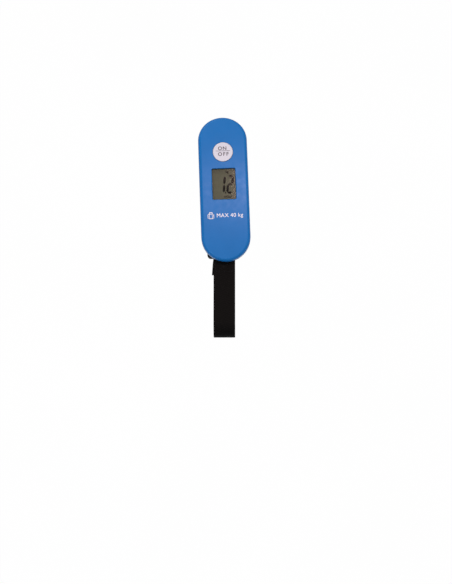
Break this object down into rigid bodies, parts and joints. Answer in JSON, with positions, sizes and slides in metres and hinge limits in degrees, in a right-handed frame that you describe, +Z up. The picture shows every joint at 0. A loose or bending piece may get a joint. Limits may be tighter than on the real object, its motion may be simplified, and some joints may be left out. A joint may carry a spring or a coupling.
{
  "type": "digital luggage scale",
  "caption": "Slim hand-held hanging scale: rounded blue casing with display and power button, over a hinged ring and a webbing strap that loops round a handle and hooks back.",
  "frame": {"origin": "middle of the grip, at the casing's centre on its parting plane", "axes": "+X to the right seen from the display side, +Y out of the back, +Z up along the casing, away from the strap"},
  "size_m": [0.047, 0.0433, 0.2118],
  "materials": {
    "blue_shell": "satin",
    "dark_shell": "fine texture",
    "steel": "zinc plated",
    "clear_lens": "clear",
    "lcd_glass": "reflective display",
    "white_plastic": "moulded",
    "rubber_strip": "layered",
    "board": "solder mask",
    "black_resin": "moulded",
    "components": "ceramic",
    "switch_body": "moulded",
    "cell_steel": "bright",
    "contact_metal": "sprung strip",
    "wire_skin": "insulated",
    "aluminium_beam": "milled",
    "gauge_film": "film",
    "white_button": "satin",
    "black_metal": "black coated",
    "webbing": "woven nylon",
    "thread": "thread"
  },
  "bodies": {
    "casing": {"front_shell": "blue_shell", "back_shell": "dark_shell", "case_screws": "steel", "lcd_window": "clear_lens", "lcd_panel": "lcd_glass", "lcd_frame": "white_plastic", "zebra_strips": "rubber_strip", "circuit_board": "board", "board_screws": "steel", "controller_chip": "black_resin", "small_components": "components", "power_switch": "switch_body", "unit_board": "board", "unit_switch": "switch_body", "battery_cell": "cell_steel", "contact_minus": "contact_metal", "contact_plus": "contact_metal", "battery_wires": "wire_skin", "load_cell": "aluminium_beam", "strain_gauges": "gauge_film", "anchor_plate": "steel", "anchor_bolts": "steel", "load_cell_wires": "wire_skin", "hanger_washer": "steel", "hanger_eye": "steel"},
    "power_key": {"power_button": "white_button", "power_switch_plunger": "black_resin"},
    "unit_key": {"unit_button": "white_button"},
    "cover": {"battery_cover": "dark_shell"},
    "ring": {"strap_ring": "black_metal"},
    "front_leg": {"strap_front": "webbing", "strap_front_stitches": "thread"},
    "bend_1": {"strap_fold_1": "webbing"},
    "bend_2": {"strap_fold_2": "webbing"},
    "bend_3": {"strap_fold_3": "webbing"},
    "rear_leg": {"strap_rear": "webbing", "strap_rear_stitches": "thread"},
    "hook": {"strap_hook": "black_metal"}
  },
  "joints": [
    {"name": "power_press", "type": "slide", "parent": "casing", "child": "power_key", "axis": [0, 1, 0], "range_m": [0, 0.0005], "stiffness_N_per_m": 2000, "springref_m": -0.0002},
    {"name": "unit_press", "type": "slide", "parent": "casing", "child": "unit_key", "axis": [0, -1, 0], "range_m": [0, 0.0003], "stiffness_N_per_m": 2000, "springref_m": -0.0002},
    {"name": "cover_turn", "type": "hinge", "parent": "casing", "child": "cover", "pos_m": [0, 0.013, 0.042], "axis": [0, 1, 0], "range_deg": [0, 45]},
    {"name": "ring_swing", "type": "hinge", "parent": "casing", "child": "ring", "pos_m": [0, 0.0082, -0.0346], "axis": [1, 0, 0], "range_deg": [0, 90]},
    {"name": "strap_swing", "type": "hinge", "parent": "ring", "child": "front_leg", "pos_m": [0, 0.0082, -0.0546], "axis": [1, 0, 0], "range_deg": [-4, 75]},
    {"name": "strap_open", "type": "hinge", "parent": "front_leg", "child": "bend_1", "pos_m": [-0.00444, 0.005, -0.12775], "axis": [-0.9993, 0, 0.0361], "range_deg": [0, 49]},
    {"name": "strap_bend_2", "type": "hinge", "parent": "bend_1", "child": "bend_2", "pos_m": [-0.00487, 0.01261, -0.13944], "axis": [-0.9993, 0, 0.0361], "range_deg": [0, 49]},
    {"name": "strap_bend_3", "type": "hinge", "parent": "bend_2", "child": "bend_3", "pos_m": [-0.00479, 0.02639, -0.13724], "axis": [-0.9993, 0, 0.0361], "range_deg": [0, 49]},
    {"name": "strap_bend_4", "type": "hinge", "parent": "bend_3", "child": "rear_leg", "pos_m": [-0.0043, 0.02996, -0.12376], "axis": [-0.9993, 0, 0.0361], "range_deg": [0, 49]},
    {"name": "hook_tilt", "type": "hinge", "parent": "rear_leg", "child": "hook", "pos_m": [-0.00212, 0.0135, -0.06349], "axis": [-0.9993, 0, 0.0361], "range_deg": [0, 60]}
  ],
  "couplings": [
    {"joint": "strap_bend_2", "follows": "strap_open", "ratio": 1},
    {"joint": "strap_bend_3", "follows": "strap_open", "ratio": 1},
    {"joint": "strap_bend_4", "follows": "strap_open", "ratio": 1}
  ]
}
